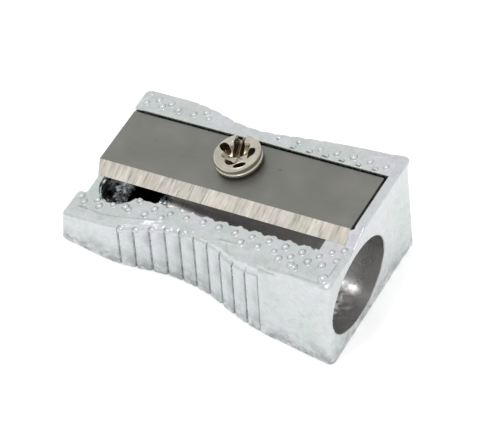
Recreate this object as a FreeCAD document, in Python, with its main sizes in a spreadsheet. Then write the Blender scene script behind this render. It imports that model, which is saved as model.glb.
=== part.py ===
"""A one-hole wedge pencil sharpener: a die-cast body, a ground steel blade and the screw that holds it.

Frame: +X runs to the thick end, where the pencil goes in, +Z is up, and the origin is at the middle
of the base. -Y is the side of the shaving slot. The blade's seat slopes down towards -X.
"""
import FreeCAD, Part
import math
import os

import Sketcher
from FreeCAD import Placement, Rotation, Vector

# Driving dimensions: alias, value in millimetres or degrees, what it is.
DIMENSIONS = (
    ("body_length", 25.0, "length at the base"),
    ("body_width", 13.8, "width at the base"),
    ("blank_height", 12.0, "height of the block before the wedge is cut"),
    ("mouth_corner", 0.7, "upright corner radius at the thick end"),
    ("nose_corner", 0.6, "upright corner radius at the narrow end"),
    ("wedge_angle", 15.5, "slope of the seat and the rims"),
    ("seat_height", 6.91, "seat above the base at mid length"),
    ("mouth_draft", 3.5, "lean of the thick end"),
    ("nose_draft", 1.5, "lean of the narrow end"),
    ("rim_rise", 0.84, "back rim above the seat"),
    ("seat_back", 4.56, "wall behind the blade, from the middle"),
    ("seat_end", 11.66, "wall beyond the blade, along the slope"),
    ("ledge_front", 2.45, "foot of the ledge's front slope, from the middle"),
    ("ledge_back", 0.7, "top of the ledge's front slope, from the middle"),
    ("notch_depth", 0.8, "step between the noses in the narrow end"),
    ("notch_front", 3.95, "front side of that step, from the middle"),
    ("rim_thickness", 0.75, "depth of the rims above the ribs"),
    ("front_foot", 6.86, "foot of the front wall, from the middle"),
    ("front_waist", 1.14, "how far the ribbed waist is let in, front"),
    ("front_rim_side", 6.45, "edge of the front rim at its ends, from the middle"),
    ("front_rim_waist", 1.49, "how far the front rim is let in"),
    ("back_foot", 6.9, "foot of the back wall, from the middle"),
    ("back_waist", 1.14, "how far the ribbed waist is let in, back"),
    ("back_rim_side", 6.79, "edge of the back rim at its ends, from the middle"),
    ("back_rim_waist", 1.07, "how far the back rim is let in"),
    ("front_draft", 3.5, "lean of the front wall"),
    ("back_draft", 1.5, "lean of the back wall"),
    ("rib_pitch", 1.3, "from one rib to the next"),
    ("rib_height", 0.22, "crest of a rib above its valleys"),
    ("rib_lean", 3.7, "lean of the ribs towards the narrow end"),
    ("bore_radius", 4.15, "guide bore for the pencil"),
    ("bore_length", 2.0, "straight part of the bore"),
    ("bore_height", 5.2, "centre of the mouth above the base"),
    ("bore_offset", 2.1, "bore axis in front of the middle"),
    ("bore_tilt", 3.8, "rise of the bore's axis towards the mouth"),
    ("cone_length", 21.6, "from the straight part to the cone's point"),
    ("mouth_break", 0.15, "broken edge of the mouth"),
    ("slot_front", 3.2, "front wall of the shaving slot, from the middle"),
    ("slot_width", 1.3, "width of the shaving slot"),
    ("slot_end", 9.2, "end of the shaving slot towards the mouth"),
    ("pocket_radius", 1.8, "round pocket at the cone's tip"),
    ("pocket_centre", 9.1, "pocket centre towards the narrow end"),
    ("pocket_offset", 2.5, "pocket centre in front of the middle"),
    ("pocket_floor", 1.1, "floor under the pocket"),
    ("link_end", 5.9, "end of the passage from pocket to cone"),
    ("link_front", 3.3, "front wall of that passage, from the middle"),
    ("link_width", 2.2, "width of that passage"),
    ("blade_thickness", 0.58, "blade stock"),
    ("blade_left", 12.5, "narrow-end side of the blade, along the slope"),
    ("blade_right", 11.3, "thick-end side of the blade, along the slope"),
    ("blade_back", 4.45, "back edge of the blade, from the middle"),
    ("blade_edge", 2.2, "cutting edge, in front of the middle"),
    ("bevel_width", 1.22, "width of the ground bevel"),
    ("corner_clip", 0.42, "clipped corner at the bevel's narrow end"),
    ("blade_hole", 1.35, "radius of the screw's hole in the blade"),
    ("screw_along", 0.88, "screw towards the narrow end, along the slope"),
    ("screw_back", 2.36, "screw behind the middle"),
    ("head_radius", 2.0, "screw head"),
    ("head_height", 1.25, "screw head"),
    ("head_edge", 0.45, "rounding of the head's rim"),
    ("shank_radius", 1.25, "M2.5 thread, major radius"),
    ("shank_length", 4.9, "under the head"),
    ("shank_point", 0.35, "chamfer at the end of the thread"),
    ("tapped_radius", 1.3, "radius of the hole in the casting, over the thread's crests"),
    ("tapped_depth", 5.0, "depth of that hole below the seat"),
    ("recess_depth", 0.9, "driver recess"),
    ("recess_width", 0.72, "width of each wing of the recess"),
    ("recess_reach", 1.4, "length of each wing from the centre"),
)

FAR = 20.0                      # longer than anything that it cuts through
FIRST_RIB = -7.0                # valley at the narrow end of the ribs
RIB_COUNT = 10
RECESS_TURN = 17.0              # where the tightened screw's recess happens to point, in degrees
# Each waist is three tangent arcs: its deepest point, its inner radius and its half lengths.
FRONT_WAIST = {"deepest": -1.2, "radius": 13.0, "to_nose": 7.5, "to_mouth": 7.8}
FRONT_RIM = {"deepest": 1.8, "radius": 19.7, "to_nose": 13.9, "to_mouth": 14.5}
BACK_WAIST = {"deepest": -1.1, "radius": 12.5, "to_nose": 7.5, "to_mouth": 10.5}
BACK_RIM = {"deepest": -1.1, "radius": 12.5, "to_nose": 7.8, "to_mouth": 14.5}

document = FreeCAD.newDocument("wedge_sharpener")
sheet = document.addObject("Spreadsheet::Sheet", "Sizes")
for row, (alias, value, meaning) in enumerate(DIMENSIONS, start=1):
    sheet.set("A%d" % row, alias)
    sheet.set("B%d" % row, str(value))
    sheet.set("C%d" % row, meaning)
    sheet.setAlias("B%d" % row, alias)
document.recompute()


def size(alias):
    """The value of a driving dimension."""
    return float(getattr(sheet, alias))


def bind(thing, **expressions):
    """Binds properties to cells of the sheet; a dot in a property's path is written as two underscores."""
    for path, expression in expressions.items():
        for alias, _, _ in DIMENSIONS:
            expression = expression.replace("[%s]" % alias, "Sizes.%s" % alias)
        thing.setExpression(path.replace("__", "."), expression)


def new_body(name):
    body = document.addObject("PartDesign::Body", name)
    body.Label = name
    return body


def new_sketch(body, name, role, offset=None):
    """A sketch on one of the body's own origin planes, moved by offset in that plane's frame."""
    sketch = body.newObject("Sketcher::SketchObject", name)
    plane = [item for item in body.Origin.OriginFeatures if item.Role == role][0]
    sketch.AttachmentSupport = (plane, "")
    sketch.MapMode = "FlatFace"
    if offset is not None:
        sketch.AttachmentOffset = offset
    return sketch


def polygon(sketch, points):
    """Adds a closed polygon whose corners are tied together and returns its first line's index."""
    first = sketch.GeometryCount
    vectors = [Vector(x, y, 0) for x, y in points]
    for start, end in zip(vectors, vectors[1:] + vectors[:1]):
        sketch.addGeometry(Part.LineSegment(start, end), False)
    count = len(vectors)
    for index in range(count):
        following = first + (index + 1) % count
        sketch.addConstraint(Sketcher.Constraint("Coincident", first + index, 2, following, 1))
    return first


def drive(sketch, kind, *elements, expression):
    """A dimension of a sketch, bound to the sheet. The geometry already has the right sign and side."""
    index = sketch.addConstraint(Sketcher.Constraint(kind, *elements, 1.0 * evaluate(expression)))
    bind(sketch, **{"Constraints[%d]" % index: expression})


def evaluate(expression):
    """The number that a bound expression has now."""
    for alias, _, _ in DIMENSIONS:
        expression = expression.replace("[%s]" % alias, repr(size(alias)))
    result = sheet.evalExpression(expression)
    return float(getattr(result, "Value", result))


def join(sketch, first, second):
    """Ties the two nearest ends of two neighbouring edges together."""
    ends = [(one, two) for one in (1, 2) for two in (1, 2)]

    def gap(pair):
        return (sketch.getPoint(first, pair[0]) - sketch.getPoint(second, pair[1])).Length

    one, two = min(ends, key=gap)
    sketch.addConstraint(Sketcher.Constraint("Coincident", first, one, second, two))


def rectangle(sketch, left, right, low, high):
    """A rectangle in a sketch with each side bound to an expression of the sheet."""
    sides = [evaluate(side) for side in (left, right, low, high)]
    x_left, x_right, y_low, y_high = sides
    first = polygon(sketch, ((x_left, y_low), (x_right, y_low), (x_right, y_high), (x_left, y_high)))
    for line in (first, first + 2):
        sketch.addConstraint(Sketcher.Constraint("Horizontal", line))
    for line in (first + 1, first + 3):
        sketch.addConstraint(Sketcher.Constraint("Vertical", line))
    drive(sketch, "DistanceX", -1, 1, first, 1, expression=left)
    drive(sketch, "DistanceX", -1, 1, first, 2, expression=right)
    drive(sketch, "DistanceY", -1, 1, first, 1, expression=low)
    drive(sketch, "DistanceY", -1, 1, first + 2, 1, expression=high)


def circle(sketch, x, y, radius):
    """A circle with its centre and radius bound to expressions of the sheet."""
    centre = Vector(evaluate(x), evaluate(y), 0)
    index = sketch.addGeometry(Part.Circle(centre, Vector(0, 0, 1), evaluate(radius)), False)
    drive(sketch, "DistanceX", -1, 1, index, 3, expression=x)
    drive(sketch, "DistanceY", -1, 1, index, 3, expression=y)
    drive(sketch, "Radius", index, expression=radius)


def feature(body, kind, name, sketch, removes=True, length=None, **settings):
    """Adds a sketch-based feature, recomputes and makes sure that it changed the volume as it should."""
    before = body.Shape.Volume if body.Tip else 0.0
    made = body.newObject("PartDesign::" + kind, name)
    made.Profile = sketch
    for key, value in settings.items():
        setattr(made, key, value)
    if length is not None:
        bind(made, Length=length)
    document.recompute()
    change = body.Shape.Volume - before
    if (change >= 0) if removes else (change <= 0):
        raise RuntimeError("%s changed the volume by %.3f" % (name, change))
    return made


def slope_offset(rise):
    """A plane parallel to the seat, from the horizontal plane: rise is its height at mid length."""
    return Placement(Vector(0, 0, rise), Rotation(Vector(0, -1, 0), size("wedge_angle")))


def bind_slope(sketch, rise):
    bind(
        sketch,
        AttachmentOffset__Base__z=rise,
        AttachmentOffset__Rotation__Angle="[wedge_angle]",
    )


def waist_line(side, depth, waist):
    """Distance from the middle plane to a waist of three tangent arcs, as a function of x."""
    radius = waist["radius"]

    def distance(x):
        half = waist["to_nose"] if x < waist["deepest"] else waist["to_mouth"]
        reach = abs(x - waist["deepest"])
        both = (half * half + depth * depth) / (2 * depth)
        if reach <= half * radius / both:
            return side - depth + radius - math.sqrt(radius ** 2 - reach ** 2)
        if reach >= half:
            return side
        blend = both - radius
        return side - blend + math.sqrt(blend ** 2 - (half - reach) ** 2)

    return distance


def arc_between(distance, start, end):
    """One arc of a waist, through three of its points."""
    return Part.Arc(*[Vector(x, distance(x), 0) for x in (start, (start + end) / 2, end)])


def ribs_between(distance):
    """Convex arcs whose crests lie on the waist and which meet in sharp valleys."""
    edges = []
    first = Vector(FIRST_RIB, distance(FIRST_RIB), 0)
    valley = Vector(FIRST_RIB, distance(FIRST_RIB) - size("rib_height"), 0)
    edges.append(Part.LineSegment(first, valley))
    for index in range(RIB_COUNT):
        crest_x = FIRST_RIB + (index + 0.5) * size("rib_pitch")
        next_x = FIRST_RIB + (index + 1) * size("rib_pitch")
        next_valley = Vector(next_x, distance(next_x) - size("rib_height"), 0)
        edges.append(Part.Arc(valley, Vector(crest_x, distance(crest_x), 0), next_valley))
        valley = next_valley
    edges.append(Part.LineSegment(valley, Vector(next_x, distance(next_x), 0)))
    return edges


def draw_waist(sketch, distance, waist, ribbed, side):
    """The region outside a waist. side is -1 in front and 1 behind."""
    nose = waist["deepest"] - waist["to_nose"]
    mouth = waist["deepest"] + waist["to_mouth"]
    last_rib = FIRST_RIB + RIB_COUNT * size("rib_pitch")
    near = Vector(min(nose - 1, -FAR), distance(nose), 0)
    far = Vector(max(mouth + 1, FAR), distance(mouth), 0)
    edges = [Part.LineSegment(near, Vector(nose, distance(nose), 0))]
    if ribbed:
        edges.append(arc_between(distance, nose, FIRST_RIB))
        edges.extend(ribs_between(distance))
        edges.append(arc_between(distance, last_rib, mouth))
    else:
        stations = [nose, waist["deepest"] - waist["to_nose"] / 2, waist["deepest"]]
        stations += [waist["deepest"] + waist["to_mouth"] / 2, mouth]
        for start, end in zip(stations, stations[1:]):
            edges.append(arc_between(distance, start, end))
    edges.append(Part.LineSegment(Vector(mouth, distance(mouth), 0), far))
    corners = [far, Vector(far.x, FAR, 0), Vector(near.x, FAR, 0), near]
    for start, end in zip(corners, corners[1:]):
        edges.append(Part.LineSegment(start, end))
    first = sketch.GeometryCount
    for edge in edges:
        sketch.addGeometry(mirrored(edge, side), False)
    for index in range(len(edges)):
        following = first + (index + 1) % len(edges)
        join(sketch, first + index, following)


def mirrored(edge, side):
    """The same line or arc, on the side that is asked for."""
    points = [edge.StartPoint, edge.EndPoint]
    if isinstance(edge, Part.Arc):
        points.insert(1, edge.value((edge.FirstParameter + edge.LastParameter) / 2))
    points = [Vector(point.x, side * point.y, 0) for point in points]
    return Part.LineSegment(*points) if len(points) == 2 else Part.Arc(*points)


# ---------------------------------------------------------------- the die-cast body
cast_body = new_body("cast_body")

plan = new_sketch(cast_body, "plan", "XY_Plane")
rectangle(plan, "-[body_length] / 2", "[body_length] / 2", "-[body_width] / 2", "[body_width] / 2")
block = feature(cast_body, "Pad", "block", plan, removes=False, length="[blank_height]")

# The wedge and the lean of both ends: everything outside the side view goes.
slope = math.tan(math.radians(size("wedge_angle")))
rim_height = size("seat_height") + size("rim_rise") / math.cos(math.radians(size("wedge_angle")))
half_length = size("body_length") / 2
mouth_lean = math.tan(math.radians(size("mouth_draft")))
nose_lean = math.tan(math.radians(size("nose_draft")))
mouth_top = (half_length - rim_height * mouth_lean) / (1 + slope * mouth_lean)
nose_top = (-half_length + rim_height * nose_lean) / (1 - slope * nose_lean)
side_view = new_sketch(cast_body, "side_view", "XZ_Plane")
polygon(side_view, ((-FAR, -FAR / 4), (FAR, -FAR / 4), (FAR, FAR), (-FAR, FAR)))
polygon(
    side_view,
    (
        (-half_length, 0),
        (half_length, 0),
        (mouth_top, rim_height + mouth_top * slope),
        (nose_top, rim_height + nose_top * slope),
    ),
)
feature(cast_body, "Pocket", "wedge", side_view, Type="ThroughAll", Midplane=True)


def upright_edges(at_mouth):
    """Names of the block's two upright corners at one end."""
    names = []
    for index, edge in enumerate(cast_body.Shape.Edges, start=1):
        ends = [vertex.Point for vertex in edge.Vertexes]
        outside = all(abs(abs(point.y) - size("body_width") / 2) < 1e-6 for point in ends)
        upright = abs(ends[0].z - ends[-1].z) > 1 + abs(ends[0].x - ends[-1].x)
        if outside and upright and (ends[0].x > 0) == at_mouth:
            names.append("Edge%d" % index)
    return names


for name, at_mouth in (("nose_corner", False), ("mouth_corner", True)):
    rounded = cast_body.Tip
    edge_names = upright_edges(at_mouth)
    corners = cast_body.newObject("PartDesign::Fillet", name + "s")
    corners.Base = (rounded, edge_names)
    bind(corners, Radius="[%s]" % name)
    document.recompute()

# The front rim lies level with the seat; the ledge beside the blade slopes down to it.
across = new_sketch(
    cast_body,
    "front_rim_section",
    "YZ_Plane",
    Placement(Vector(0, size("seat_height"), 0), Rotation(Vector(-1, 0, 0), size("wedge_angle"))),
)
bind(across, AttachmentOffset__Base__y="[seat_height]", AttachmentOffset__Rotation__Angle="[wedge_angle]")
rise = size("rim_rise")
polygon(
    across,
    (
        (-FAR, 0),
        (-size("ledge_front"), 0),
        (-size("ledge_back"), rise),
        (-size("ledge_back"), FAR),
        (-FAR, FAR),
    ),
)
feature(cast_body, "Pocket", "front_rim", across, Type="ThroughAll", Midplane=True)

seat = new_sketch(cast_body, "seat_outline", "XY_Plane", slope_offset(size("seat_height")))
bind_slope(seat, "[seat_height]")
rectangle(seat, "-[body_length]", "[seat_end]", "-[ledge_front] - 0.5", "[seat_back]")
feature(cast_body, "Pocket", "blade_seat", seat, Type="ThroughAll", Reversed=True)

notch = new_sketch(cast_body, "notch_outline", "XY_Plane")
notch_end = "-[body_length] / 2 + [notch_depth]"
rectangle(notch, "-[body_length]", notch_end, "-[notch_front]", "[seat_back]")
feature(cast_body, "Pocket", "nose_notch", notch, Type="ThroughAll", Reversed=True)

# The waist: the ribbed walls lean in as they rise, and the rims above them have edges of their own.
rim_clearance = size("rim_thickness") / math.cos(math.radians(size("wedge_angle")))
waists = (
    ("front", -1, FRONT_WAIST, FRONT_RIM, size("seat_height") - rim_clearance),
    ("back", 1, BACK_WAIST, BACK_RIM, rim_height - rim_clearance),
)
for name, side, waist, rim, underside in waists:
    under_rim = cast_body.newObject("PartDesign::Plane", name + "_under_rim")
    horizontal = [item for item in cast_body.Origin.OriginFeatures if item.Role == "XY_Plane"][0]
    under_rim.AttachmentSupport = (horizontal, "")
    under_rim.MapMode = "FlatFace"
    under_rim.AttachmentOffset = slope_offset(underside)
    rim_outline = new_sketch(cast_body, name + "_rim_waist", "XY_Plane", slope_offset(underside))
    rim_line = waist_line(size(name + "_rim_side"), size(name + "_rim_waist"), rim)
    draw_waist(rim_outline, rim_line, rim, False, side)
    feature(cast_body, "Pocket", name + "_rim_cut", rim_outline, Type="ThroughAll", Reversed=True)
    rib_outline = new_sketch(cast_body, name + "_rib_waist", "XY_Plane")
    rib_line = waist_line(size(name + "_foot"), size(name + "_waist"), waist)
    draw_waist(rib_outline, rib_line, waist, True, side)
    lean = math.radians(size(name + "_draft"))
    feature(
        cast_body,
        "Pocket",
        name + "_ribs",
        rib_outline,
        Type="UpToFace",
        UpToFace=(under_rim, [""]),
        Reversed=True,
        UseCustomVector=True,
        Direction=Vector(-math.tan(math.radians(size("rib_lean"))), -side * math.tan(lean), 1),
    )

# The guide bore and the cone that brings the pencil to the cutting edge.
mouth_x = half_length - size("bore_height") * mouth_lean
bore_frame = Placement(
    Vector(mouth_x, size("bore_height"), size("bore_offset")),
    Rotation(Vector(0, 0, 1), size("bore_tilt")),
)
bore_profile = new_sketch(cast_body, "bore_profile", "XZ_Plane", bore_frame)
bore_radius = size("bore_radius")
bore_length = size("bore_length")
mouth_break = size("mouth_break")
cone_tip = -bore_length - size("cone_length")
polygon(
    bore_profile,
    (
        (1, 0),
        (1, bore_radius + mouth_break + 1),
        (-mouth_break, bore_radius),
        (-bore_length, bore_radius),
        (cone_tip, 0),
    ),
)
feature(cast_body, "Groove", "pencil_bore", bore_profile, ReferenceAxis=(bore_profile, ["H_Axis"]), Angle=360)

# The slot in front of the cutting edge, open down to the level of the bore's axis.
slot_frame = Placement(bore_frame.Base, bore_frame.Rotation)
slot_frame.Base.z = size("slot_front")
slot_side = new_sketch(cast_body, "slot_side", "XZ_Plane", slot_frame)
slot_left = -mouth_x - size("pocket_centre")
slot_right = size("slot_end") - mouth_x
polygon(slot_side, ((slot_left, 0), (slot_right, 0), (slot_right, FAR), (slot_left, FAR)))
feature(cast_body, "Pocket", "shaving_slot", slot_side, length="[slot_width]")

# The round pocket at the cone's tip, which lets graphite fall clear, and the passage to the cone.
pocket = new_sketch(cast_body, "pocket_outline", "XY_Plane")
circle(pocket, "-[pocket_centre]", "-[pocket_offset]", "[pocket_radius]")
passage = new_sketch(cast_body, "passage_outline", "XY_Plane")
rectangle(passage, "-[pocket_centre]", "-[link_end]", "-[link_front]", "[link_width] - [link_front]")
for name, outline in (("tip_pocket", pocket), ("tip_passage", passage)):
    outline.AttachmentOffset = Placement(Vector(0, 0, size("pocket_floor")), Rotation())
    bind(outline, AttachmentOffset__Base__z="[pocket_floor]")
    feature(cast_body, "Pocket", name, outline, Type="ThroughAll", Reversed=True)

screw_bore = new_sketch(cast_body, "screw_bore", "XY_Plane", slope_offset(size("seat_height")))
bind_slope(screw_bore, "[seat_height]")
circle(screw_bore, "-[screw_along]", "[screw_back]", "[tapped_radius]")
feature(cast_body, "Pocket", "tapped_hole", screw_bore, length="[tapped_depth]")

# ---------------------------------------------------------------- the blade, flat in its own frame
blade = new_body("blade")
section = new_sketch(blade, "blade_section", "YZ_Plane")
polygon(
    section,
    (
        (-size("blade_edge"), 0),
        (size("blade_back"), 0),
        (size("blade_back"), size("blade_thickness")),
        (size("bevel_width") - size("blade_edge"), size("blade_thickness")),
    ),
)
section.AttachmentOffset = Placement(Vector(0, 0, -size("blade_left")), Rotation())
bind(section, AttachmentOffset__Base__z="-[blade_left]")
blade_length = "[blade_left] + [blade_right]"
feature(blade, "Pad", "blade_stock", section, removes=False, length=blade_length)

blade_hole = new_sketch(blade, "blade_hole", "XY_Plane")
circle(blade_hole, "-[screw_along]", "[screw_back]", "[blade_hole]")
feature(blade, "Pocket", "screw_hole", blade_hole, Type="ThroughAll", Midplane=True)

clip = new_sketch(blade, "clip_outline", "XY_Plane")
clip_y = size("bevel_width") - size("blade_edge")
polygon(
    clip,
    (
        (-size("blade_left"), clip_y),
        (-size("blade_left") - 1, clip_y),
        (-size("blade_left") - 1, -size("blade_edge") - 1),
        (size("corner_clip") - size("blade_left"), -size("blade_edge") - 1),
        (size("corner_clip") - size("blade_left"), -size("blade_edge")),
    ),
)
feature(blade, "Pocket", "clipped_corner", clip, Type="ThroughAll", Midplane=True)
blade.Placement = slope_offset(size("seat_height"))
bind(blade, Placement__Base__z="[seat_height]", Placement__Rotation__Angle="[wedge_angle]")

# ---------------------------------------------------------------- the screw, upright in its own frame
blade_screw = new_body("blade_screw")
turned = new_sketch(blade_screw, "screw_profile", "XZ_Plane")
head_radius = size("head_radius")
head_height = size("head_height")
head_edge = size("head_edge")
shank_radius = size("shank_radius")
shank_end = -size("shank_length")
outline = (
    Vector(0, shank_end, 0),
    Vector(shank_radius - size("shank_point"), shank_end, 0),
    Vector(shank_radius, shank_end + size("shank_point"), 0),
    Vector(shank_radius, 0, 0),
    Vector(head_radius, 0, 0),
    Vector(head_radius, head_height - head_edge, 0),
    Vector(head_radius - head_edge, head_height, 0),
    Vector(0, head_height, 0),
)
edges = [Part.LineSegment(start, end) for start, end in zip(outline, outline[1:] + outline[:1])]
bulge = head_edge * (1 - math.sqrt(0.5))
edges[5] = Part.Arc(outline[5], Vector(head_radius - bulge, head_height - bulge, 0), outline[6])
for edge in edges:
    turned.addGeometry(edge, False)
for index in range(len(edges)):
    join(turned, index, (index + 1) % len(edges))
feature(
    blade_screw,
    "Revolution",
    "turned_screw",
    turned,
    removes=False,
    ReferenceAxis=(turned, ["V_Axis"]),
    Angle=360,
)

# A cross recess for the driver.
recess_top = Placement(Vector(0, 0, head_height), Rotation())
wings = (
    ("cross_wing", "[recess_reach]", "[recess_width] / 2"),
    ("cross_wing_across", "[recess_width] / 2", "[recess_reach]"),
)
for name, reach, width in wings:
    wing = new_sketch(blade_screw, name + "_outline", "XY_Plane", recess_top)
    bind(wing, AttachmentOffset__Base__z="[head_height]")
    rectangle(wing, "-" + reach, reach, "-" + width, width)
    feature(blade_screw, "Pocket", name, wing, length="[recess_depth]")
screw_frame = slope_offset(size("seat_height"))
screw_frame = screw_frame.multiply(
    Placement(
        Vector(-size("screw_along"), size("screw_back"), size("blade_thickness")),
        Rotation(Vector(0, 0, 1), RECESS_TURN),
    )
)
blade_screw.Placement = screw_frame

# ---------------------------------------------------------------- checks and files
document.recompute()
for item in document.Objects:
    if "Invalid" in item.State or "Error" in item.State:
        raise RuntimeError("%s did not recompute: %s" % (item.Name, item.State))
os.makedirs("parts", exist_ok=True)
for part in (cast_body, blade, blade_screw):
    if part.Shape.isNull() or not part.Shape.isValid() or len(part.Shape.Solids) != 1:
        raise RuntimeError("%s has no single valid solid" % part.Label)
    part.Shape.exportStep("parts/%s.step" % part.Label)
    box = part.Shape.BoundBox
    print("%-12s %9.2f mm3  x %.2f..%.2f  y %.2f..%.2f  z %.2f..%.2f" % (
        part.Label, part.Shape.Volume, box.XMin, box.XMax, box.YMin, box.YMax, box.ZMin, box.ZMax))
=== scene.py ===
"""A cast-metal wedge pencil sharpener with a ground steel blade and a nickel-plated screw.

Shapes are worked out in millimetres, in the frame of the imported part: +X is the thick end, +Z is up
and -Y is the side of the shaving slot. They are meshed from distance fields and scaled to metres.
"""
import math

import bmesh
import bpy
import numpy as np
from mathutils import Matrix, Vector


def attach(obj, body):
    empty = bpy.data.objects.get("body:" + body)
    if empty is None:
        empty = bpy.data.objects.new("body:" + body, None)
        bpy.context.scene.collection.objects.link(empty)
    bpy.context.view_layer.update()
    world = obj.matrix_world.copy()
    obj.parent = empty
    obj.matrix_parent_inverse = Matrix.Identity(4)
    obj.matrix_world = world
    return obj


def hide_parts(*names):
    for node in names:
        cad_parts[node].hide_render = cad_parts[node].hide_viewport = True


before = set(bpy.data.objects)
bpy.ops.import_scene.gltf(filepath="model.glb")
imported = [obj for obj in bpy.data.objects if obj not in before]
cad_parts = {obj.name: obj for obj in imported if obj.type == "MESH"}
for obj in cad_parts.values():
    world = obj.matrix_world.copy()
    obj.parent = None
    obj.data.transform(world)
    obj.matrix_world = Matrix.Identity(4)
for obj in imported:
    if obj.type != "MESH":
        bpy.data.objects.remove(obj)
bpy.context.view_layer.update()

MM = 0.001
GRID = 0.1          # casting's sampling step
SCREW_GRID = 0.04   # screw's sampling step
CASTING_FACES = 190000                      # triangles kept in the casting
SCREW_FACES = 90000                         # triangles kept in the screw

# ------------------------------------------------------------------ sizes, in millimetres
# x, y and z are the part's own axes. s runs up the seat's slope and h stands square to the seat.
SLOPE = math.radians(15.5)
SIN, COS = math.sin(SLOPE), math.cos(SLOPE)
SEAT = 6.91                                 # seat above the base at mid length
HALF_LENGTH = 12.5
MOUTH_LEAN, NOSE_LEAN = math.radians(3.5), math.radians(1.5)
WALL_LEAN, BACK_LEAN = 0.061, 0.026         # side walls' draft, front and back
EDGE_RADIUS = 0.32                          # of the rims
RISE = 0.84                                 # back rim above the seat
SEAT_FRONT, SEAT_BACK = -2.9, 4.56          # y
SEAT_END = 11.66                            # s
END_STEP = 0.33                             # how much sooner the seat ends beside the bevel
NOTCH_END, NOTCH_FRONT = -11.68, -3.95      # x, y: cut-out of the narrow end
MOUTH = (12.18, -2.1, 5.2)                  # centre of the bore's mouth
BORE_RADIUS = 4.15
BORE_STRAIGHT = 1.7
CONE_LENGTH = 21.6
BORE_TILT = math.radians(3.8)
ROUGH_PLACE = (9.9, -2.2, 1.0)              # where the bore is crinkled and a pool of light is painted on it
SLOT_FROM, SLOT_TO = -7.4, 9.2              # x
SLOT_FRONT, SLOT_BACK = -3.2, -1.92         # y
POCKET = (-9.1, -2.5)                       # x and y of the round pocket's middle
POCKET_RADIUS, POCKET_FLOOR = 1.72, 1.7
LIP_RADIUS, LIP_DEPTH = 1.93, 0.32          # worn lip round the pocket
PASSAGE_END, PASSAGE_FLOOR = -6.25, 1.1     # passage from the pocket to the cone: x, z
PASSAGE_MIDDLE, PASSAGE_HALF = -1.55, 1.75  # y
FIRST_RIB, RIB_PITCH, RIB_COUNT = -7.0, 1.3, 10
RIB_LEAN = math.tan(math.radians(3.7))
FRONT_RIB_DEPTH, BACK_RIB_DEPTH = 0.28, 0.2
KNOBBED_RIBS, KNOB_RADIUS = 5, 0.3          # ribs with a knob on top
SCREW_ALONG, SCREW_BACK = -0.88, 2.36       # s, y
SCREW_HOLE_RADIUS, SCREW_HOLE_DEPTH = 1.3, 5.0
BLADE = {"left": -12.5, "right": 11.3, "back": 4.45, "edge": -2.2, "bevel": 1.22, "thick": 0.58}
BLADE_CLIP = 0.42                           # corner taken off the blade's cutting edge
BLADE_HOLE_RADIUS = 1.35


# ------------------------------------------------------------------ distance fields
def soft_max(a, b, radius):
    """Intersection of two fields with its edge rounded to that radius."""
    return np.minimum(np.maximum(a, b), -radius) + np.hypot(
        np.maximum(a + radius, 0), np.maximum(b + radius, 0)
    )


def soft_min(a, b, radius):
    """Union of two fields with its inner corner filled to that radius."""
    return -soft_max(-a, -b, radius)


def smooth(t):
    """A smooth step from 0 to 1 as t goes from 0 to 1."""
    t = np.clip(t, 0, 1)
    return t * t * (3 - 2 * t)


def crumpled(x, y, z):
    """An uneven, smooth field between about -1 and 1 that repeats nowhere on the part."""
    one = np.sin(2.9 * x + 1.7 * np.sin(2.3 * y + z))
    two = np.sin(3.1 * y + 1.9 * np.sin(2.7 * z + x))
    three = np.sin(3.7 * z + 1.3 * np.sin(2.1 * x + y))
    return (one + two + three) / 2


def waist(x, side, depth, deepest, radius, to_nose, to_mouth):
    """Distance from the middle plane to a side let in along three tangent arcs."""
    half = np.where(x < deepest, to_nose, to_mouth)
    reach = np.abs(x - deepest)
    both = (half * half + depth * depth) / (2 * depth)
    blend = both - radius
    inner = side - depth + radius - np.sqrt(np.maximum(radius ** 2 - reach ** 2, 0))
    outer = side - blend + np.sqrt(np.maximum(blend ** 2 - (half - reach) ** 2, 0))
    return np.where(reach <= half * radius / both, inner, np.where(reach >= half, side, outer))


def front_foot(x):
    """The front wall's distance from the middle plane at the base."""
    return waist(x, 6.86, 1.14, -1.2, 13.0, 7.5, 7.8)


def front_rim(x):
    """The front rim's distance from the middle plane."""
    return waist(x, 6.45, 1.49, 1.73, 19.0, 13.4, 14.0)


def back_rim(x):
    """The back rim's distance from the middle plane."""
    return waist(x, 6.84, 1.07, -1.08, 12.1, 7.5, 13.95)


def polyline(place, points):
    """Distance in space from a place, given as three coordinates, to a line through the points."""
    near = None
    for a, b in zip(points, points[1:]):
        along = [end - start for start, end in zip(a, b)]
        offset = [value - start for value, start in zip(place, a)]
        square = sum(step * step for step in along)
        t = np.clip(sum(one * two for one, two in zip(offset, along)) / square, 0, 1)
        distance = np.sqrt(sum((one - t * two) ** 2 for one, two in zip(offset, along)))
        near = distance if near is None else np.minimum(near, distance)
    return near


def rib_places(x):
    """Which rib a place is on, how far across it from -1 to 1, and whether it is on any rib."""
    turn = (x - FIRST_RIB) / RIB_PITCH
    across = (turn - np.floor(turn) - 0.5) * 2
    last = FIRST_RIB + RIB_COUNT * RIB_PITCH
    among = smooth((x - FIRST_RIB) / 0.1 + 0.5) * smooth((last - x) / 0.1 + 0.5)
    return np.floor(turn), across, among


def ribs(foot_x, z, top, deep):
    """How far the ribs' valleys are let in: broad crests, narrow valleys and round upper ends."""
    _, across, among = rib_places(foot_x)
    dome = np.clip((z - (top - 0.4)) / 0.4, 0, 1)
    lean = 0.12 * (across + 1) * (1 - np.abs(across))
    shape = np.clip(np.abs(across) ** 7 + lean + 0.7 * dome ** 3, 0, 1)
    return deep * shape * among


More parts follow.
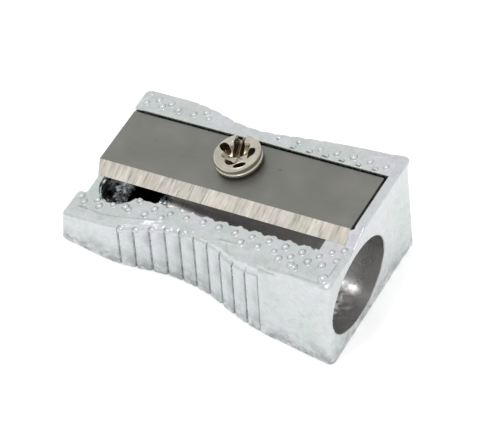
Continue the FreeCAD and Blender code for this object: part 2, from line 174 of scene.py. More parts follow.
def studs(s, y, h, rows, level, clear):
    """Rows of small domes standing on a rim, cut back to where clear is negative."""
    near = None
    for row_y, first, last, pitch in rows:
        count = round((last - first) / pitch)
        index = np.clip(np.round((s - first) / pitch), 0, count)
        centre = first + index * pitch
        wobble = 0.05 * np.sin(index * 12.9898 + row_y * 7.1)
        along = s - centre - wobble
        across = y - row_y - 0.05 * np.sin(index * 4.7 + row_y * 3.3)
        drop = h - level + 0.03
        size = 0.285 + 0.03 * np.sin(index * 7.7 + row_y)
        dome = np.sqrt(along ** 2 + across ** 2 + drop ** 2) - size
        dome = np.maximum(dome, clear)
        near = dome if near is None else np.minimum(near, dome)
    return near


# Rows of studs on the rims: y, the first and last along the slope, and their pitch.
FRONT_STUDS = (
    (-3.87, -5.37, 11.46, 1.53),
    (-4.58, -12.08, -4.43, 1.53),
    (-4.58, 3.22, 9.34, 1.53),
    (-4.55, 10.66, 10.7, 1.53),
    (-5.1, -11.63, -10.1, 1.53),
    (-5.13, 6.91, 6.95, 1.53),
    (-5.4, 8.3, 8.6, 0.3),
    (-4.4, -7.9, -7.85, 1.53),
    (-3.53, -7.07, -7.02, 1.53),
    (-3.2, 9.2, 10.73, 1.53),
    (-2.7, 11.62, 11.65, 1.53),
)
BACK_STUDS = (
    (5.38, -11.74, -5.62, 1.53),
    (5.33, 5.05, 11.05, 1.5),
    (4.72, 2.75, 10.38, 1.526),
    (5.86, -10.75, -9.5, 1.25),
    (5.86, -6.1, -6.05, 1.53),
    (5.4, 1.12, 1.15, 1.53),
    (5.5, 2.94, 2.97, 1.53),
)
BIG_STUD = (11.38, -5.7, -0.02, 0.42)       # s, y, h and radius
# Beads raised by the die: the points (s, y, h) that each runs through, and its radius.
BEADS = (
    (((-12.0, -5.74, -0.1), (-10.5, -5.84, 0), (-9.44, -5.95, 0), (-8.07, -5.79, 0.02),
      (-6.77, -5.53, 0.03), (-5.49, -5.24, 0.02), (-4.3, -4.8, -0.16)), 0.2),
    (((-10.6, -6.0, -0.16), (-8.84, -6.14, -0.07), (-7.47, -5.97, -0.05), (-5.76, -5.59, -0.03),
      (-4.4, -5.1, -0.14)), 0.15),
    (((0.7, -4.9, -0.18), (1.42, -4.92, -0.08), (2.54, -4.9, -0.07), (3.4, -4.95, -0.19)), 0.11),
    (((4.3, -5.45, -0.54), (6.45, -5.98, -0.42), (7.52, -6.06, -0.3), (8.56, -6.1, -0.23),
      (9.51, -6.17, -0.18), (10.46, -6.23, -0.15), (11.2, -6.26, -0.13), (11.7, -6.03, -0.04),
      (11.86, -5.48, 0), (11.86, -4.77, 0), (11.8, -3.0, -0.14)), 0.13),
    (((-10.8, 6.45, RISE - 0.12), (-11.9, 6.35, RISE), (-12.05, 5.8, RISE),
      (-12.1, 4.9, RISE - 0.12)), 0.12),
    (((-8.2, 6.25, RISE - 0.1), (-7.0, 6.12, RISE), (-5.7, 5.75, RISE - 0.1)), 0.09),
    (((9.0, 5.95, RISE - 0.1), (10.6, 6.2, RISE), (11.6, 6.1, RISE), (11.9, 5.6, RISE),
      (11.9, 4.9, RISE - 0.1)), 0.08),
)


def casting_parts(x, y, z):
    """The casting's field and, from 0 to 1, how machined each place is, its soot and deep painted
    shade, its painted shade and its painted light.
    """
    h = (z - SEAT) * COS - x * SIN
    s = x * COS + (z - SEAT) * SIN
    # ends, ribbed sides and upright corners
    mouth = (x - HALF_LENGTH) * math.cos(MOUTH_LEAN) + z * math.sin(MOUTH_LEAN)
    nose = (-x - HALF_LENGTH) * math.cos(NOSE_LEAN) + z * math.sin(NOSE_LEAN)
    height = SEAT + x * SIN / COS
    rim = front_rim(x)
    lean = WALL_LEAN - 0.022 * smooth((x - 7) / 5)
    shoulder = (h + 0.8 * (-y - rim)) * 0.78
    rib_top = height - 0.1 - 0.8 * (front_foot(x) - lean * z - rim) - 0.35 * smooth((x - 1) / 1.5)
    foot_x = x + RIB_LEAN * z
    wall = -y - front_foot(foot_x) + lean * z + ribs(foot_x, z, rib_top, FRONT_RIB_DEPTH)
    front_side = soft_max(wall, shoulder, 0.22)
    number, across, among = rib_places(foot_x)
    knob_along = (across + 0.5) * RIB_PITCH / 2
    knob_out = y + front_foot(x) - lean * z - 0.2
    knob = np.sqrt(knob_along ** 2 + knob_out ** 2 + (z - rib_top + 0.1) ** 2) - KNOB_RADIUS
    knobbed = (number >= 0) & (number < KNOBBED_RIBS)
    front_side = soft_min(front_side, np.where(knobbed, knob, 9.0), 0.1)
    back = back_rim(x)
    back_wall = y - back + BACK_LEAN * z + ribs(foot_x, z, height - 0.1, BACK_RIB_DEPTH)
    back_edge = y - back + 0.09 * np.abs(across) ** 3 * among
    back_side = np.where(
        h < -0.4, back_wall, soft_min(back_wall, soft_max(back_edge, -h + 0.2, 0.1), 0.12)
    )
    front = soft_max(soft_max(front_side, mouth, 0.55), nose, 0.32)
    rear = soft_max(soft_max(back_side, mouth, 0.55), nose, 0.7)
    # top: front rim, ledge and back rim
    ledge = RISE * (0.5 * np.clip((y + 2.45) / 1.75, 0, 1) + 0.5 * smooth((y + 2.55) / 1.95))
    top = (h - ledge) * 0.9
    notch = soft_max(soft_max(x - NOTCH_END, NOTCH_FRONT - y, 0.12), y - SEAT_BACK, 0.1)
    plan = np.maximum(front, rear)
    plan = soft_max(plan, -notch, 0.38)
    # the top's edge is crisper beside the ledge at the thick end
    crisp = 0.22 * smooth((x - 10.0) / 1.2) * smooth((y + 3.6) / 0.8)
    body = soft_max(plan, top, EDGE_RADIUS - crisp)
    body = soft_max(body, -z, 0.22)
    # studs, kept inside the rims' edges
    clear_front = -y - rim + 0.12
    clear_back = y - back + 0.12
    front_dots = studs(s, y, h, FRONT_STUDS, 0.0, clear_front)
    back_dots = studs(s, y, h, BACK_STUDS, RISE, clear_back)
    body = soft_min(body, np.maximum(front_dots, y + 2.3), 0.05)
    body = soft_min(body, np.maximum(back_dots, SEAT_BACK + 0.1 - y), 0.05)
    big_s, big_y, big_h, big_radius = BIG_STUD
    big = np.sqrt((s - big_s) ** 2 + (y - big_y) ** 2 + (h - big_h) ** 2) - big_radius
    body = soft_min(body, big, 0.08)
    # beads along the edges of the rims
    for points, thick in BEADS:
        body = soft_min(body, polyline((s, y, h), points) - thick, 0.09)
    # blade's seat
    seat_end = SEAT_END - END_STEP * smooth((-0.95 - y) / 0.2)
    seat = np.maximum(np.maximum(-h, s - seat_end), np.maximum(y - SEAT_BACK, SEAT_FRONT - y))
    body = soft_max(body, -seat, 0.05)
    # bore, cone, slot, pocket and passage
    u = (x - MOUTH[0]) * math.cos(BORE_TILT) + (z - MOUTH[2]) * math.sin(BORE_TILT)
    v = -(x - MOUTH[0]) * math.sin(BORE_TILT) + (z - MOUTH[2]) * math.cos(BORE_TILT)
    around = np.hypot(v, y - MOUTH[1])
    beyond = u + BORE_STRAIGHT
    radius = BORE_RADIUS * (1 + (beyond - np.hypot(beyond, 0.7)) / 2 / CONE_LENGTH)
    crinkle = 0.06 * crumpled(2.6 * x, 2.6 * y, 2.6 * z)
    rough_x, rough_y, rough_z = ROUGH_PLACE
    rough_place = np.exp(-((x - rough_x) ** 2 + (y - rough_y) ** 2 + (z - rough_z) ** 2) / 1.4)
    bore = (around - radius + crinkle * rough_place) * 0.98
    wave = 0.1 * np.sin(2 * math.pi * (s + 4.9) / 1.53) + 0.04 * np.sin(s * 9.7 + 1.0)
    slot_side = np.maximum(SLOT_FRONT - y - wave, y - SLOT_BACK)
    slot = np.maximum(np.maximum(-v, slot_side), np.maximum(SLOT_FROM - x, x - SLOT_TO))
    crumple = 0.09 * crumpled(1.7 * x, 1.7 * y, 1.7 * z)
    from_pocket = np.hypot(x - POCKET[0], y - POCKET[1])
    lip_side = from_pocket - LIP_RADIUS - 0.04 * np.sin(5 * x + 3 * y)
    lip = np.maximum(lip_side, -LIP_DEPTH - h + crumple)
    well = np.maximum(from_pocket - POCKET_RADIUS, POCKET_FLOOR - z + crumple)
    round_pocket = np.minimum(well, lip)
    passage_side = np.maximum(np.abs(y - PASSAGE_MIDDLE) - PASSAGE_HALF, PASSAGE_FLOOR - z)
    passage = np.maximum(np.maximum(POCKET[0] - x, x - PASSAGE_END), passage_side)
    hollow = np.minimum(np.minimum(bore, slot), np.minimum(round_pocket, passage))
    body = soft_max(body, -hollow, 0.07)
    # screw's hole
    hole_side = np.hypot(s - SCREW_ALONG, y - SCREW_BACK) - SCREW_HOLE_RADIUS
    hole = np.maximum(hole_side, np.maximum(-SCREW_HOLE_DEPTH - h, h - 0.3))
    body = soft_max(body, -hole, 0.05)
    # what the material reads
    machined = smooth((0.09 - np.minimum(bore, slot)) / 0.07)
    pocket_soot = smooth((0.09 - round_pocket) / 0.07) * smooth((1.84 - from_pocket) / 0.06)
    # painted shade: the passage and the slot's narrow end are darkened towards black, as the shade
    # deep inside them
    passage_shade = smooth((0.09 - passage) / 0.07)
    slot_end_shade = 0.62 * smooth((-4.9 - x) / 0.9) * machined
    below_rim = smooth((-0.15 - h) / 0.2)
    soot_and_shade = np.maximum(0.5 * pocket_soot, np.maximum(slot_end_shade, passage_shade) * below_rim)
    # painted shade on the ribbed front wall: the valleys and the right-hand side of each rib are
    # darkened
    on_wall = smooth((front_side + 0.12) / 0.08) * (h < -0.1)
    valley_shade = np.abs(across) ** 14 * among * smooth((rib_top - z) / 0.4)
    shade = smooth((across + 0.3) / 1.0) * among * (0.42 + 0.3 * crumpled(x, y, 0.5 * z))
    painted_shade = on_wall * np.maximum(valley_shade, shade * smooth((rib_top - z) / 0.8))
    # painted shade, darkest, along the seat's walls beside the blade and past its end
    past_end = smooth((s - SEAT_END + 0.15) / 0.1) * smooth((y + 1.2) / 0.3)
    shade_beside_blade = np.maximum(smooth((y - SEAT_BACK + 0.15) / 0.1), past_end)
    shade_beside_blade = shade_beside_blade * smooth((0.06 - np.abs(seat)) / 0.04)
    shade_beside_blade = shade_beside_blade * smooth((RISE - 0.06 - h) / 0.1)
    painted_shade = np.maximum(0.77 * painted_shade, shade_beside_blade)
    # the last value paints a pool of light on the crinkled place in the bore
    return body, machined, soot_and_shade, painted_shade, 0.5 * rough_place * machined


def casting_field(x, y, z):
    return casting_parts(x, y, z)[0]


# ------------------------------------------------------------------ meshing
def surface(field, low, high, step):
    """Vertices and quads of a field's zero surface, by surface nets."""
    axes = [np.arange(a, b + step, step, dtype=np.float32) for a, b in zip(low, high)]
    shape = tuple(len(a) for a in axes)
    value = field(axes[0][:, None, None], axes[1][None, :, None], axes[2][None, None, :])
    value = np.ascontiguousarray(np.broadcast_to(value, shape), dtype=np.float32)
    inside = value < 0
    strides = np.array([shape[1] * shape[2], shape[2], 1])
    cells = shape[0] * shape[1] * shape[2]
    total = np.zeros((cells, 3))
    count = np.zeros(cells)
    quads = []
    for axis in range(3):
        near = [slice(None)] * 3
        far = [slice(None)] * 3
        near[axis] = slice(0, -1)
        far[axis] = slice(1, None)
        near, far = tuple(near), tuple(far)
        index = np.argwhere(inside[near] != inside[far])
        a = value[near][tuple(index.T)]
        b = value[far][tuple(index.T)]
        place = index.astype(float)
        place[:, axis] += a / (a - b)
        flat = index @ strides
        one, two = [k for k in range(3) if k != axis]
        back_one, back_two = strides[one], strides[two]
        around = [flat, flat - back_one, flat - back_one - back_two, flat - back_two]
        for cell in around:
            count += np.bincount(cell, minlength=cells)
            for k in range(3):
                total[:, k] += np.bincount(cell, weights=place[:, k], minlength=cells)
        ring = np.stack(around, axis=1)
        turned = (a >= 0) if axis != 1 else (a < 0)
        ring[turned] = ring[turned][:, ::-1]
        quads.append(ring)
    used = np.flatnonzero(count)
    number = np.full(cells, -1)
    number[used] = np.arange(len(used))
    points = total[used] / count[used][:, None] * step + np.array([a[0] for a in axes])
    return points, number[np.concatenate(quads)]


def gradient(field, points, step=0.01):
    """A field's slope at each point, by central differences."""
    slopes = []
    for k in range(3):
        ahead, behind = points.copy(), points.copy()
        ahead[:, k] += step
        behind[:, k] -= step
        slopes.append((field(*ahead.T) - field(*behind.T)) / (2 * step))
    return np.stack(slopes, axis=1)


def settle(field, points, limit, rounds=3):
    """Moves points onto a field's zero surface, none further than limit in a round."""
    for _ in range(rounds):
        slope = gradient(field, points)
        length = np.maximum((slope ** 2).sum(axis=1), 0.2)
        move = slope * (field(*points.T) / length)[:, None]
        size = np.linalg.norm(move, axis=1)
        move *= np.minimum(1, limit / np.maximum(size, 1e-9))[:, None]
        points = points - move
    return points


def mesh_object(name, points, faces):
    """An object whose mesh has these points, in millimetres, and these faces."""
    mesh = bpy.data.meshes.new(name)
    mesh.from_pydata((points * MM).tolist(), [], faces.tolist())
    mesh.validate()
    made = bpy.data.objects.new(name, mesh)
    bpy.context.scene.collection.objects.link(made)
    return made


def thinned(made, wanted):
    """The object's mesh with its flat places thinned until about that many triangles are left."""
    triangles = sum(len(face.vertices) - 2 for face in made.data.polygons)
    if triangles > wanted:
        thin = made.modifiers.new("thin", "DECIMATE")
        thin.ratio = wanted / triangles
        graph = bpy.context.evaluated_depsgraph_get()
        mesh = bpy.data.meshes.new_from_object(made.evaluated_get(graph))
        made.modifiers.clear()
        old = made.data
        made.data = mesh
        bpy.data.meshes.remove(old)
    return made


def field_object(name, field, low, high, step, wanted):
    """A field's zero surface as an object with exact normals, and its points in millimetres."""
    points, quads = surface(field, low, high, step)
    points = settle(field, points, step * 0.5)
    made = thinned(mesh_object(name, points, quads), wanted)
    count = len(made.data.vertices)
    flat = np.empty(count * 3, np.float32)
    made.data.vertices.foreach_get("co", flat)
    points = settle(field, flat.reshape(-1, 3).astype(float) / MM, step * 0.3, 2)
    made.data.vertices.foreach_set("co", (points * MM).astype(np.float32).ravel())
    made.data.polygons.foreach_set("use_smooth", np.ones(len(made.data.polygons), bool))
    made.data.update()
    slope = gradient(field, points, step * 0.12)
    slope /= np.maximum(np.linalg.norm(slope, axis=1), 1e-6)[:, None]
    made.data.normals_split_custom_set_from_vertices(slope.tolist())
    return made, points


def paint(made, name, values):
    """Stores one number for each vertex, for a material to read."""
    layer = made.data.attributes.new(name, "FLOAT", "POINT")
    layer.data.foreach_set("value", values.astype(np.float32))


# ------------------------------------------------------------------ materials
def material(name):
    """A new material, with its node tree and its shader."""
    made = bpy.data.materials.new(name)
    made.use_nodes = True
    tree = made.node_tree
    return made, tree, tree.nodes["Principled BSDF"]


def node(tree, kind, links=(), **settings):
    """Adds a node, sets its properties or numbered inputs and links its inputs."""
    made = tree.nodes.new("ShaderNode" + kind)
    for key, value in settings.items():
        if key.startswith("in_"):
            made.inputs[key[3:].replace("_", " ")].default_value = value
        else:
            setattr(made, key, value)
    for socket, source in links:
        tree.links.new(source, made.inputs[socket])
    return made


def noise(tree, place, scale, detail=3.0, roughness=0.55):
    made = node(
        tree, "TexNoise", (("Vector", place),),
        in_Scale=scale, in_Detail=detail, in_Roughness=roughness,
    )
    return made.outputs["Fac"]


def stretched(tree, place, scale):
    """Object coordinates scaled by a different amount along each axis."""
    made = node(tree, "Mapping", (("Vector", place),), in_Scale=scale)
    return made.outputs["Vector"]


def ramp(tree, source, stops):
    made = node(tree, "ValToRGB", (("Fac", source),))
    line = made.color_ramp
    while len(line.elements) < len(stops):
        line.elements.new(0.5)
    for element, (position, colour) in zip(line.elements, stops):
        element.position = position
        element.color = (*colour, 1) if isinstance(colour, tuple) else (colour, colour, colour, 1)
    return made.outputs["Color"]


def mixed(tree, factor, a, b, blend="MIX"):
    made = node(tree, "Mix", data_type="RGBA", blend_type=blend)
    if isinstance(factor, float):
        made.inputs[0].default_value = factor
    else:
        tree.links.new(factor, made.inputs[0])
    for index, value in ((6, a), (7, b)):
        if isinstance(value, tuple):
            made.inputs[index].default_value = (*value, 1)
        else:
            tree.links.new(value, made.inputs[index])
    return made.outputs[2]


def bump(tree, shader, height, distance, strength):
    made = node(tree, "Bump", (("Height", height),), in_Distance=distance, in_Strength=strength)
    tree.links.new(made.outputs["Normal"], shader.inputs["Normal"])


def cast_metal():
    made, tree, shader = material("cast_metal")
    place = node(tree, "TexCoord").outputs["Object"]
    soot_and_shade = node(tree, "Attribute", attribute_name="soot_and_shade").outputs["Fac"]
    machined = node(tree, "Attribute", attribute_name="machined").outputs["Fac"]
    cloud = noise(tree, place, 330, 3)
    tint = ramp(
        tree,
        cloud,
        ((0.3, (0.525, 0.58, 0.56)), (0.5, (0.59, 0.615, 0.612)), (0.7, (0.625, 0.62, 0.66))),
    )
    grain = noise(tree, place, 2600, 4, 0.6)
    grainy = ramp(tree, grain, ((0.35, 0.0), (0.65, 1.0)))
    spots = mixed(tree, grainy, (0.9, 0.91, 0.91), (1.0, 1.0, 1.0))
    smudge = ramp(tree, noise(tree, place, 900, 4, 0.6), ((0.3, 0.90), (0.5, 1.0)))
    clean = mixed(tree, 1.0, mixed(tree, 1.0, tint, spots, "MULTIPLY"), smudge, "MULTIPLY")
    # painted shade, mottled, in the lowest 2.4 mm of the walls, in the ribs' valleys and on each
    # rib's right-hand side, and beside the blade
    level = node(tree, "SeparateXYZ", (("Vector", place),)).outputs["Z"]
    low = node(
        tree, "MapRange", (("Value", level),),
        in_From_Min=0.0, in_From_Max=0.0024, in_To_Min=1.0, in_To_Max=0.0,
    ).outputs[0]
    patch = ramp(tree, noise(tree, place, 1100, 4, 0.65), ((0.4, 0.0), (0.58, 0.95)))
    shaded_amount = node(tree, "Attribute", attribute_name="painted_shade").outputs["Fac"]
    clean = mixed(tree, mixed(tree, 1.0, low, patch, "MULTIPLY"), clean, (0.22, 0.23, 0.245))
    clean = mixed(tree, ramp(tree, shaded_amount, ((0.0, 0.0), (0.77, 0.85))), clean, (0.32, 0.34, 0.35))
    clean = mixed(tree, ramp(tree, shaded_amount, ((0.8, 0.0), (1.0, 1.0))), clean, (0.06, 0.06, 0.06))
    # turned metal in the bore and the slot, with a pool of light painted in one place, where the
    # lamp's light falls through the slot
    rings = noise(tree, stretched(tree, place, (9000, 700, 700)), 1, 3)
    turned = ramp(tree, rings, ((0.3, (0.43, 0.425, 0.42)), (0.7, (0.53, 0.52, 0.517))))
    painted_light = node(tree, "Attribute", attribute_name="painted_light").outputs["Fac"]
    lit_patch_speckle = noise(tree, place, 2600, 4, 0.7)
    lit_patch_speckle = ramp(tree, lit_patch_speckle, ((0.4, (0.3, 0.3, 0.3)), (0.6, (1.0, 1.0, 1.0))))
    lit_patch_colour = mixed(tree, 1.0, (1.0, 0.99, 0.96), lit_patch_speckle, "MULTIPLY")
    turned = mixed(tree, painted_light, turned, lit_patch_colour)
    # soot in the pocket and, blacker, painted shade in the passage and the slot's narrow end
    streaks = noise(tree, place, 1500, 5, 0.7)
    soot_shade_colour = ramp(
        tree,
        streaks,
        ((0.42, (0.03, 0.032, 0.034)), (0.5, (0.14, 0.145, 0.15)), (0.58, (0.85, 0.88, 0.9))),
    )
    colour = mixed(tree, machined, clean, turned)
    colour = mixed(tree, ramp(tree, soot_and_shade, ((0.0, 0.0), (0.5, 1.0))), colour, soot_shade_colour)
    painted_black_shade = ramp(tree, soot_and_shade, ((0.5, 0.0), (0.9, 1.0)))
    colour = mixed(tree, painted_black_shade, colour, (0.008, 0.008, 0.008))
    tree.links.new(colour, shader.inputs["Base Color"])
    shader.inputs["Metallic"].default_value = 0.9
    rough = ramp(tree, noise(tree, place, 900, 3), ((0.3, 0.24), (0.7, 0.38)))
    tree.links.new(rough, shader.inputs["Roughness"])
    bump(tree, shader, grain, 0.00003, 0.4)
    return made


def blade_flat():
    made, tree, shader = material("blade_flat")
    place = node(tree, "TexCoord").outputs["Object"]
    cloud = noise(tree, place, 220, 3)
    lines = noise(tree, stretched(tree, place, (300, 9000, 300)), 1, 3)
    base = ramp(tree, cloud, ((0.3, (0.175, 0.18, 0.158)), (0.7, (0.232, 0.228, 0.208))))
    fine = mixed(tree, 1.0, base, ramp(tree, lines, ((0.3, 0.93), (0.7, 1.0))), "MULTIPLY")
    specks = node(tree, "TexVoronoi", (("Vector", place),), in_Scale=420.0)
    dots = ramp(tree, specks.outputs["Distance"], ((0.03, 0.45), (0.07, 1.0)))
    few = ramp(tree, noise(tree, place, 300, 1), ((0.5, 1.0), (0.6, 0.0)))
    spot = mixed(tree, few, (1.0, 1.0, 1.0), dots)
    tree.links.new(mixed(tree, 1.0, fine, spot, "MULTIPLY"), shader.inputs["Base Color"])
    shader.inputs["Metallic"].default_value = 0.85
    tree.links.new(ramp(tree, lines, ((0.3, 0.34), (0.7, 0.42))), shader.inputs["Roughness"])
    bump(tree, shader, lines, 0.000004, 0.3)
    return made


def blade_bevel():
    made, tree, shader = material("blade_bevel")
    place = node(tree, "TexCoord").outputs["Object"]
    wide = noise(tree, stretched(tree, place, (1100, 260, 500)), 1, 3)
    thin = noise(tree, stretched(tree, place, (5200, 420, 900)), 1, 4, 0.7)
    tone = ramp(
        tree,
        wide,
        ((0.3, (0.52, 0.505, 0.42)), (0.5, (0.61, 0.565, 0.515)), (0.7, (0.72, 0.695, 0.62))),
    )
    cut = ramp(tree, thin, ((0.3, 0.45), (0.45, 0.82), (0.62, 1.0)))
    tree.links.new(mixed(tree, 1.0, tone, cut, "MULTIPLY"), shader.inputs["Base Color"])
    shader.inputs["Metallic"].default_value = 0.75
    tree.links.new(ramp(tree, thin, ((0.3, 0.55), (0.7, 0.40))), shader.inputs["Roughness"])
    bump(tree, shader, thin, 0.00002, 0.45)
    return made


def plated_steel():
    made, tree, shader = material("plated_steel")
    place = node(tree, "TexCoord").outputs["Object"]
    deep = node(tree, "Attribute", attribute_name="deep").outputs["Fac"]
    cloud = noise(tree, place, 900, 3)
    face = ramp(tree, cloud, ((0.3, (0.42, 0.39, 0.32)), (0.7, (0.56, 0.53, 0.45))))
    # painted shade: the recess, its pit and the band under the head take this dark colour
    inner = ramp(tree, cloud, ((0.3, (0.10, 0.075, 0.045)), (0.7, (0.30, 0.24, 0.16))))
    tree.links.new(mixed(tree, deep, face, inner), shader.inputs["Base Color"])
    shader.inputs["Metallic"].default_value = 1.0
    fine = noise(tree, place, 4200, 4)
    tree.links.new(ramp(tree, fine, ((0.3, 0.2), (0.7, 0.36))), shader.inputs["Roughness"])
    bump(tree, shader, fine, 0.00001, 0.3)
    return made


# ------------------------------------------------------------------ the casting
casting, casting_points = field_object(
    "casting_detailed", casting_field, (-12.8, -7.1, -0.3), (12.8, 7.1, 11.4), GRID, CASTING_FACES
)
# painted shade on the walls and beside the blade, soot with deep painted shade, and a painted pool of
# light in the bore
painted = casting_parts(*casting_points.T)[1:]
for name, values in zip(("machined", "soot_and_shade", "painted_shade", "painted_light"), painted):
    paint(casting, name, values)
casting.data.materials.append(cast_metal())
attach(casting, "casting")
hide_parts("cast_body")

# ------------------------------------------------------------------ the blade
to_seat = Matrix.Translation((0, 0, SEAT * MM)) @ Matrix.Rotation(-SLOPE, 4, "Y")


def blade_mesh():
    """The blade in its own frame: stock with a ground bevel, a clipped corner and a hole."""
    left, right, back, edge = BLADE["left"], BLADE["right"], BLADE["back"], BLADE["edge"]
    thick, shoulder = BLADE["thick"], BLADE["edge"] + BLADE["bevel"]
    steps = 64
    hole = [
        (
            SCREW_ALONG + BLADE_HOLE_RADIUS * math.cos(2 * math.pi * k / steps),
            SCREW_BACK + BLADE_HOLE_RADIUS * math.sin(2 * math.pi * k / steps),
        )
        for k in range(steps)
    ]
    mesh = bpy.data.meshes.new("blade_detailed")
    work = bmesh.new()

    def ring(points, level):
        return [work.verts.new((x * MM, y * MM, level * MM)) for x, y in points]

    flat_top = ring(((left, shoulder), (right, shoulder), (right, back), (left, back)), thick)
    clipped = (left + BLADE_CLIP, edge)
    flat_low = ring(((left, shoulder), clipped, (right, edge), (right, back), (left, back)), 0)
    hole_top, hole_low = ring(hole, thick), ring(hole, 0)
    for outer, inner in ((flat_top, hole_top), (flat_low, hole_low)):
        edges = [work.edges.new(pair) for pair in zip(outer, outer[1:] + outer[:1])]
        edges += [work.edges.new(pair) for pair in zip(inner, inner[1:] + inner[:1])]
        bmesh.ops.triangle_fill(work, edges=edges, use_beauty=True)
    for k in range(steps):
        n = (k + 1) % steps
        work.faces.new((hole_top[k], hole_top[n], hole_low[n], hole_low[k]))
    bevel = work.faces.new((flat_top[0], flat_low[1], flat_low[2], flat_top[1]))
    bevel.material_index = 1
    work.faces.new((flat_top[0], flat_low[0], flat_low[1])).material_index = 1
    work.faces.new((flat_top[1], flat_low[2], flat_low[3], flat_top[2]))
    work.faces.new((flat_top[2], flat_low[3], flat_low[4], flat_top[3]))
    work.faces.new((flat_top[3], flat_low[4], flat_low[0], flat_top[0]))
    bmesh.ops.recalc_face_normals(work, faces=work.faces)
    work.to_mesh(mesh)
    work.free()
    mesh.transform(to_seat)
    made = bpy.data.objects.new("blade_detailed", mesh)
    bpy.context.scene.collection.objects.link(made)
    soft = made.modifiers.new("edges", "BEVEL")
    soft.width = 0.03 * MM
    soft.segments = 2
    soft.limit_method = "ANGLE"
    soft.angle_limit = math.radians(20)
    soft.harden_normals = True
    return made


blade = blade_mesh()
blade.data.materials.append(blade_flat())
blade.data.materials.append(blade_bevel())
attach(blade, "blade")
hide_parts("blade")

# ------------------------------------------------------------------ the screw
# p, q and w are the screw's own axes: w runs up it from the underside of its head.
HEAD_RADIUS, HEAD_HEIGHT = 2.0, 1.25
THREAD_RADIUS, THREAD_DEPTH, THREAD_PITCH = 1.24, 0.24, 0.45
SHANK_END = 4.88
SLOT_TURN = math.radians(107)
HEAD_GAP = 0.015                            # keeps the head's underside off the blade as it turns
# Round holes of the worn recess, on the head's own axes: centre, the two half axes, turn and floor.
HOLES = (
    (-1.13, 0.1, 0.62, 0.36, 150, 0.35),
    (1.17, 0.28, 0.34, 0.5, 0, 0.35),
    (0.0, -1.08, 0.46, 0.34, -25, 0.35),
    (1.0, -1.2, 0.52, 0.2, 38, 0.5),
)


def recess_field(p, q, w):
    """The worn recess: a shallow bowl with facets, a slot to the rim and round holes about it."""
    along = p * math.cos(SLOT_TURN) + q * math.sin(SLOT_TURN)
    across = -p * math.sin(SLOT_TURN) + q * math.cos(SLOT_TURN)
    ridge = 0.45 * smooth((0.16 - np.abs(across + 0.05)) / 0.12)
    slot_gap = np.maximum(np.abs(across) - 0.42 - 0.08 * (w - 0.7), (0.3 + ridge - w) * 0.9)
    total = np.maximum(slot_gap, np.maximum(along - 2.4, -along - 0.1))
    for centre_p, centre_q, wide, tall, turn, floor in HOLES:
        turn = math.radians(turn)
        one = (p - centre_p) * math.cos(turn) + (q - centre_q) * math.sin(turn)
        two = -(p - centre_p) * math.sin(turn) + (q - centre_q) * math.cos(turn)
        hole = (np.hypot(one / wide, two / tall) - 1 - 0.3 * (w - 1.15)) * min(wide, tall)
        total = np.minimum(total, np.maximum(hole, (floor - w) * 0.9))
    angle = np.arctan2(q + 0.1, p - 0.1)
    facets = 0.14 * np.abs(np.sin(2.5 * angle + 0.9))
    reach = 0.98 + 0.16 * np.cos(5 * angle + 0.4)
    out = np.hypot(p - 0.1, q + 0.1)
    bowl_side = (out - reach - 0.6 * (w - 1.0)) * 0.75
    bowl = np.maximum(bowl_side, (0.5 + 0.28 * out + facets - w) * 0.85)
    return soft_min(total, bowl, 0.05)


def screw_field(p, q, w):
    """The screw: a worn domed head, undercut and grooved, on a threaded shank."""
    out = np.hypot(p, q)
    worn = 0.03 * np.sin(3 * np.arctan2(q, p)) * (out / HEAD_RADIUS) ** 2
    top = w - HEAD_HEIGHT + 0.06 * (out / HEAD_RADIUS) ** 4 + worn
    side = out - (HEAD_RADIUS - 0.02 - 0.1 * smooth((w - 0.42) / 0.1) * smooth((0.72 - w) / 0.15))
    side = side + 0.3 * smooth((0.24 - w) / 0.1)
    head = soft_max(soft_max(side, top, 0.34), -w, 0.06)
    head = soft_max(head, -recess_field(p, q, w), 0.06)
    turn = w / THREAD_PITCH - np.arctan2(q, p) / (2 * math.pi)
    ridge = np.abs(turn - np.floor(turn) - 0.5) * 2
    shank = (out - THREAD_RADIUS + THREAD_DEPTH * (1 - ridge)) * 0.7
    shank = np.maximum(shank, np.maximum(w - 0.2, -SHANK_END - w))
    shank = np.maximum(shank, (out - THREAD_RADIUS - (w + 4.55)) * 0.707)
    return soft_min(head, shank, 0.05)


screw, screw_points = field_object(
    "screw_detailed", screw_field, (-2.2, -2.2, -5.1), (2.2, 2.2, 1.45), SCREW_GRID, SCREW_FACES
)
# painted shade: how deep each place lies in the recess or under the head, which darkens it there
p, q, w = screw_points.T
slot_side = smooth((p * math.cos(SLOT_TURN) + q * math.sin(SLOT_TURN) - 0.05) / 0.3)
below = smooth((HEAD_HEIGHT - 0.2 - w) / 0.15) * (np.hypot(p, q) < 1.85) * (w > 0.05)
in_pit = smooth(1.9 - np.hypot((p - 1.0) / 0.5, (q + 1.2) / 0.42))
in_pit = in_pit * smooth((HEAD_HEIGHT - 0.1 - w) / 0.1)
depth = below * np.maximum(np.maximum(slot_side, smooth((0.55 - w) / 0.1)), in_pit)
depth = np.maximum(depth, smooth((0.26 - w) / 0.05) * smooth((w + 0.1) / 0.05) * 0.8)
paint(screw, "deep", depth)
head_level = BLADE["thick"] + HEAD_GAP
seat_to_head = Matrix.Translation((SCREW_ALONG * MM, SCREW_BACK * MM, head_level * MM))
screw.data.transform(to_seat @ seat_to_head)
screw.data.materials.append(plated_steel())
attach(screw, "screw")
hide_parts("blade_screw")


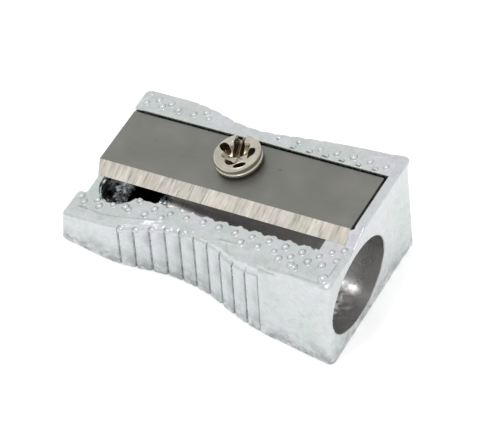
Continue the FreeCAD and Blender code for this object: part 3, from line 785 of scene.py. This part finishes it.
# ------------------------------------------------------------------ floor, light and camera
def lay_floor():
    """A plain pale floor, 3 m square."""
    mesh = bpy.data.meshes.new("floor")
    reach = 1.5
    corners = [(-reach, -reach, 0), (reach, -reach, 0), (reach, reach, 0), (-reach, reach, 0)]
    mesh.from_pydata(corners, [], [(0, 1, 2, 3)])
    made = bpy.data.objects.new("floor", mesh)
    bpy.context.scene.collection.objects.link(made)
    paper, tree, shader = material("pale_paper")
    place = node(tree, "TexCoord").outputs["Object"]
    shade = ramp(tree, noise(tree, place, 900, 2), ((0.0, 0.93), (1.0, 0.95)))
    tree.links.new(shade, shader.inputs["Base Color"])
    shader.inputs["Roughness"].default_value = 0.9
    shader.inputs["Emission Color"].default_value = (1, 1, 1, 1)
    shader.inputs["Emission Strength"].default_value = 0.24
    mesh.materials.append(paper)


lay_floor()
scene = bpy.context.scene
world = bpy.data.worlds.new("studio")
scene.world = world
world.use_nodes = True
sky_tree = world.node_tree
background = sky_tree.nodes["Background"]
direction = node(sky_tree, "TexCoord").outputs["Generated"]
level = node(sky_tree, "SeparateXYZ", (("Vector", direction),)).outputs["Z"]
glow = ramp(sky_tree, level, ((0.0, 0.80), (0.3, 0.92), (0.75, 1.0)))
sky_tree.links.new(glow, background.inputs["Color"])
background.inputs["Strength"].default_value = 1.08


# one soft lamp, aimed at the part, whose light falls through the slot into the bore
key_place = Vector((-0.047, -0.08, 0.245))
lamp = bpy.data.lights.new("key", "AREA")
lamp.size = 0.03
lamp.energy = 0.105
key = bpy.data.objects.new("key", lamp)
key.location = key_place
key.rotation_mode = "QUATERNION"
key.rotation_quaternion = key_place.to_track_quat("Z", "Y")
scene.collection.objects.link(key)

DISTANCE = 226.85                           # millimetres from the part's origin to the camera
PIXELS_PER_MM = 12.4014                     # at that distance
IMAGE_WIDTH, SENSOR_WIDTH = 502, 36         # pixels, and the sensor's millimetres
azimuth, elevation, roll = math.radians(31.7446), math.radians(56.0858), math.radians(-2.1097)
back_to = Vector((
    math.sin(azimuth) * math.cos(elevation),
    -math.cos(azimuth) * math.cos(elevation),
    math.sin(elevation),
))
right = Vector((0, 0, 1)).cross(back_to).normalized()
upward = back_to.cross(right)
tilted = right * math.cos(roll) + upward * math.sin(roll)
upward = upward * math.cos(roll) - right * math.sin(roll)
camera_data = bpy.data.cameras.new("camera")
camera_data.sensor_width = SENSOR_WIDTH
camera_data.lens = PIXELS_PER_MM * DISTANCE / IMAGE_WIDTH * SENSOR_WIDTH
camera_data.shift_x = 12.9876 / IMAGE_WIDTH
camera_data.shift_y = 24.2158 / IMAGE_WIDTH
camera_data.clip_start = 0.01
camera_data.clip_end = 10
camera = bpy.data.objects.new("camera", camera_data)
turned = Matrix((tilted, upward, back_to)).transposed().to_4x4()
camera.matrix_world = Matrix.Translation(back_to * (DISTANCE * MM)) @ turned
scene.collection.objects.link(camera)
scene.camera = camera
scene.view_settings.view_transform = "Standard"
scene.view_settings.look = "None"
